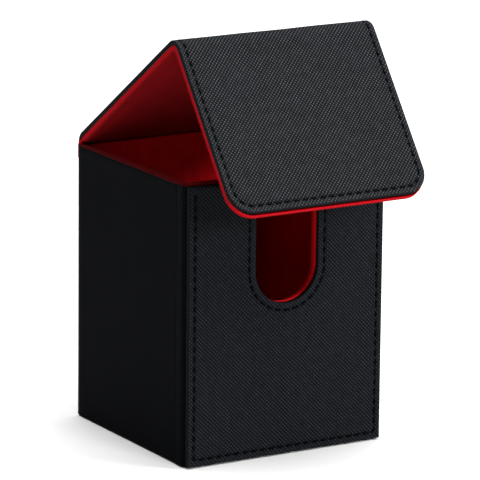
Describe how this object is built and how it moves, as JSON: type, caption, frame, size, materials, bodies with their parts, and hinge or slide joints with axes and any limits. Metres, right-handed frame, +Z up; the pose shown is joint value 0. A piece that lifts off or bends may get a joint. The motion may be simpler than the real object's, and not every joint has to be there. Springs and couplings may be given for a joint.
{
  "type": "card deck box",
  "caption": "Upright flip-lid box for a deck of trading cards, black embossed leathercloth over board, red suede lining, thumb notch in the front.",
  "frame": {"origin": "centre of the box's base, on the surface it stands on", "axes": "+Z up, the notched front faces -Y, +X to the right seen from the front"},
  "size_m": [0.081, 0.1106, 0.1511],
  "materials": {
    "black_leather": "black leathercloth with a fine diagonal cross emboss, low sheen",
    "red_lining": "red microfibre suede, short nap",
    "greyboard": "plain greyboard, hidden under the covers",
    "black_thread": "twisted black polyester thread",
    "magnet_steel": "nickel-plated, hidden"
  },
  "bodies": {
    "box": {"floor_board": "greyboard", "left_board": "greyboard", "right_board": "greyboard", "back_board": "greyboard", "front_board": "greyboard", "floor_lining": "red_lining", "left_lining": "red_lining", "right_lining": "red_lining", "back_lining": "red_lining", "front_lining": "red_lining", "rim_edging": "red_lining", "notch_edging": "red_lining", "front_filler": "greyboard", "keeper_plates": "magnet_steel", "panel_board": "greyboard", "panel_cover": "black_leather", "panel_stitching": "black_thread", "notch_stitching": "black_thread", "left_cover": "black_leather", "right_cover": "black_leather", "left_corner_strip": "black_leather", "right_corner_strip": "black_leather", "back_cover": "black_leather", "bottom_cover": "black_leather", "rear_hinge_cover": "black_leather", "rear_hinge_lining": "red_lining"},
    "lid_top": {"top_board": "greyboard", "top_cover": "black_leather", "top_lining": "red_lining", "top_stitching": "black_thread", "ridge_cover": "black_leather", "ridge_lining": "red_lining"},
    "front_flap": {"flap_board": "greyboard", "flap_cover": "black_leather", "flap_lining": "red_lining", "flap_stitching": "black_thread", "flap_magnets": "magnet_steel"}
  },
  "joints": [
    {"name": "rear_hinge", "type": "hinge", "parent": "box", "child": "lid_top", "pos_m": [0, 0.0369, 0.1032], "axis": [-1, 0, 0], "range_deg": [-35, 170], "deforming": ["rear_hinge_cover", "rear_hinge_lining"]},
    {"name": "ridge_hinge", "type": "hinge", "parent": "lid_top", "child": "front_flap", "pos_m": [0, -0.02853, 0.14975], "axis": [-1, 0, 0], "range_deg": [-2, 133], "deforming": ["ridge_cover", "ridge_lining"]}
  ]
}
